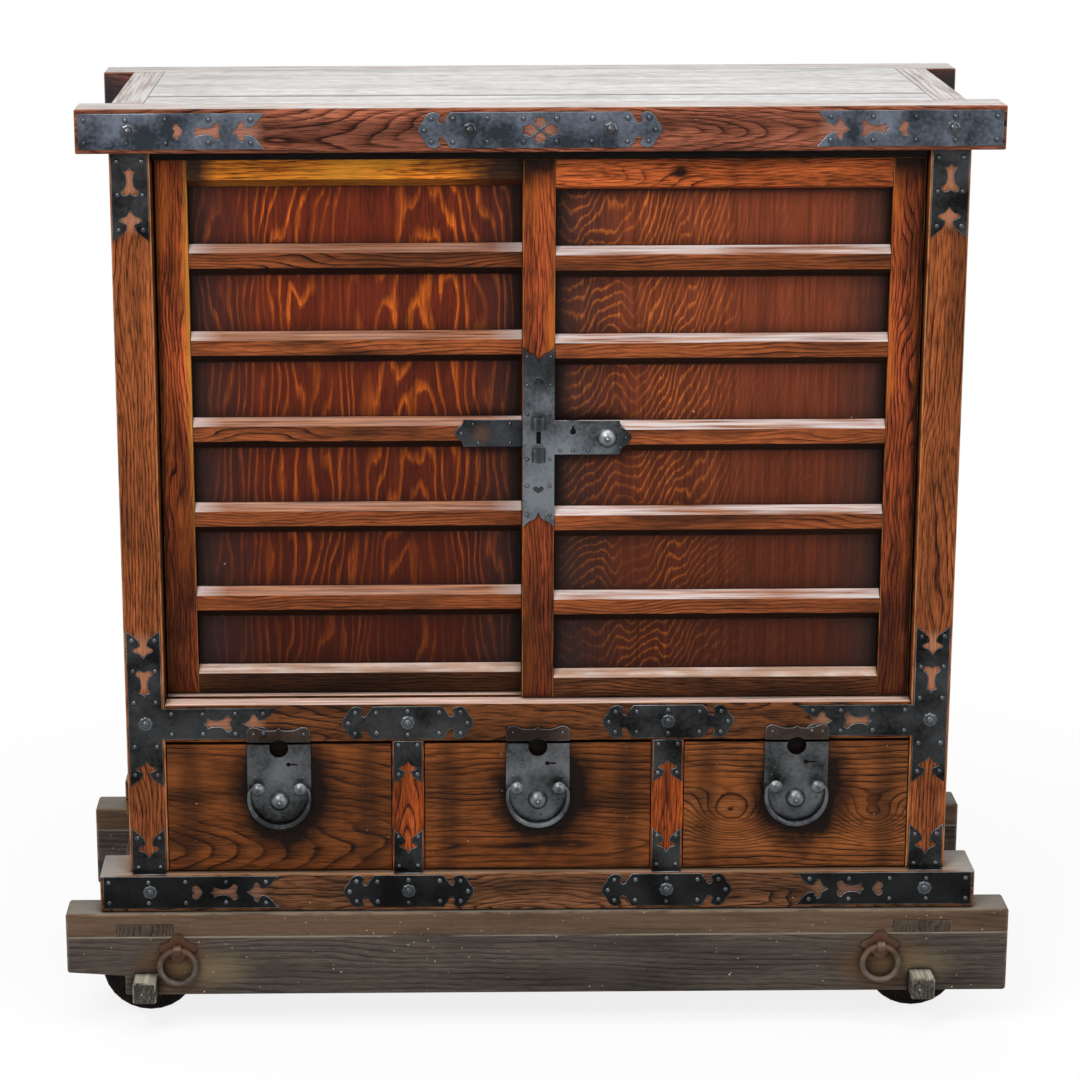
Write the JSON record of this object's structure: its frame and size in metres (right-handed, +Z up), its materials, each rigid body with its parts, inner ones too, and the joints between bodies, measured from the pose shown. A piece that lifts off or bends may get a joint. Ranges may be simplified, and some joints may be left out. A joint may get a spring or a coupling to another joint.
{
  "type": "wheeled tansu chest",
  "caption": "Wooden merchant chest on timber beams and wheels, with battened sliding doors, lockable drawers with iron bails, and pull rings.",
  "frame": {"origin": "on the ground, under the middle of the chest", "axes": "+X to the right as one faces the doors, +Y from the front to the back, +Z up"},
  "size_m": [1.258, 0.534, 1.2346],
  "materials": {
    "frame_wood": "old brown lacquer with open grain",
    "door_wood": "worn orange-brown lacquer",
    "panel_wood": "dark red-brown lacquer over figured grain",
    "board_wood": "plain boards",
    "top_wood": "pale worn sheen",
    "beam_wood": "weathered grey-brown",
    "wheel_wood": "blackened",
    "black_iron": "blackened, worn bright at the edges",
    "rusty_iron": "rusted"
  },
  "bodies": {
    "chest": {"axle_left": "beam_wood", "axle_right": "beam_wood", "front_beam": "beam_wood", "back_beam": "beam_wood", "cross_member_left": "beam_wood", "cross_member_right": "beam_wood", "ring_staple_left": "rusty_iron", "ring_staple_right": "rusty_iron", "base_front_rail": "frame_wood", "base_back_rail": "frame_wood", "drawer_deck": "board_wood", "front_post_left": "frame_wood", "front_post_right": "frame_wood", "back_post_left": "frame_wood", "back_post_right": "frame_wood", "top_front_rail": "frame_wood", "top_back_rail": "frame_wood", "top_end_rail_left": "frame_wood", "top_end_rail_right": "frame_wood", "top_board_front": "top_wood", "top_board_rear": "top_wood", "door_head_rail": "frame_wood", "middle_rail": "frame_wood", "cabinet_floor": "board_wood", "drawer_partition_left": "frame_wood", "drawer_partition_right": "frame_wood", "side_panel_left": "board_wood", "side_panel_right": "board_wood", "back_panel": "board_wood"},
    "left_door": {"left_door_stile_left": "door_wood", "left_door_stile_right": "door_wood", "left_door_top_rail": "door_wood", "left_door_bottom_rail": "door_wood", "left_door_panel": "panel_wood", "left_door_lock_arm": "black_iron"},
    "right_door": {"right_door_stile_left": "door_wood", "right_door_stile_right": "door_wood", "right_door_top_rail": "door_wood", "right_door_bottom_rail": "door_wood", "right_door_panel": "panel_wood", "right_door_lock_plate": "black_iron"},
    "left_drawer": {"drawer_left_front": "door_wood", "drawer_left_box": "board_wood", "drawer_left_lock_plate": "black_iron"},
    "middle_drawer": {"drawer_middle_front": "door_wood", "drawer_middle_box": "board_wood", "drawer_middle_lock_plate": "black_iron"},
    "right_drawer": {"drawer_right_front": "door_wood", "drawer_right_box": "board_wood", "drawer_right_lock_plate": "black_iron"},
    "left_bail": {"drawer_left_bail": "black_iron"},
    "middle_bail": {"drawer_middle_bail": "black_iron"},
    "right_bail": {"drawer_right_bail": "black_iron"},
    "left_ring": {"ring_pull_left": "rusty_iron"},
    "right_ring": {"ring_pull_right": "rusty_iron"},
    "wheel_front_left": {"front_wheel_left": "wheel_wood"},
    "wheel_front_right": {"front_wheel_right": "wheel_wood"},
    "wheel_back_left": {"back_wheel_left": "wheel_wood"},
    "wheel_back_right": {"back_wheel_right": "wheel_wood"}
  },
  "joints": [
    {"name": "left_door_slide", "type": "slide", "parent": "chest", "child": "left_door", "axis": [1, 0, 0], "range_m": [0, 0.468]},
    {"name": "right_door_slide", "type": "slide", "parent": "chest", "child": "right_door", "axis": [1, 0, 0], "range_m": [-0.468, 0]},
    {"name": "left_drawer_slide", "type": "slide", "parent": "chest", "child": "left_drawer", "axis": [0, -1, 0], "range_m": [0, 0.3]},
    {"name": "middle_drawer_slide", "type": "slide", "parent": "chest", "child": "middle_drawer", "axis": [0, -1, 0], "range_m": [0, 0.3]},
    {"name": "right_drawer_slide", "type": "slide", "parent": "chest", "child": "right_drawer", "axis": [0, -1, 0], "range_m": [0, 0.3]},
    {"name": "left_bail_hinge", "type": "hinge", "parent": "left_drawer", "child": "left_bail", "pos_m": [-0.34175, -0.2248, 0.3373], "axis": [-1, 0, 0], "range_deg": [0, 90]},
    {"name": "middle_bail_hinge", "type": "hinge", "parent": "middle_drawer", "child": "middle_bail", "pos_m": [0, -0.2248, 0.3373], "axis": [-1, 0, 0], "range_deg": [0, 90]},
    {"name": "right_bail_hinge", "type": "hinge", "parent": "right_drawer", "child": "right_bail", "pos_m": [0.34175, -0.2248, 0.3373], "axis": [-1, 0, 0], "range_deg": [0, 90]},
    {"name": "left_ring_hinge", "type": "hinge", "parent": "chest", "child": "left_ring", "pos_m": [-0.4802, -0.2428, 0.116], "axis": [-1, 0, 0], "range_deg": [0, 120]},
    {"name": "right_ring_hinge", "type": "hinge", "parent": "chest", "child": "right_ring", "pos_m": [0.458, -0.2428, 0.116], "axis": [-1, 0, 0], "range_deg": [0, 120]},
    {"name": "front_left_wheel_spin", "type": "hinge", "parent": "chest", "child": "wheel_front_left", "pos_m": [-0.524, -0.151, 0.064], "axis": [0, 1, 0], "continuous": true},
    {"name": "front_right_wheel_spin", "type": "hinge", "parent": "chest", "child": "wheel_front_right", "pos_m": [0.513, -0.151, 0.064], "axis": [0, 1, 0], "continuous": true},
    {"name": "back_left_wheel_spin", "type": "hinge", "parent": "chest", "child": "wheel_back_left", "pos_m": [-0.524, 0.151, 0.064], "axis": [0, 1, 0], "continuous": true},
    {"name": "back_right_wheel_spin", "type": "hinge", "parent": "chest", "child": "wheel_back_right", "pos_m": [0.513, 0.151, 0.064], "axis": [0, 1, 0], "continuous": true}
  ]
}
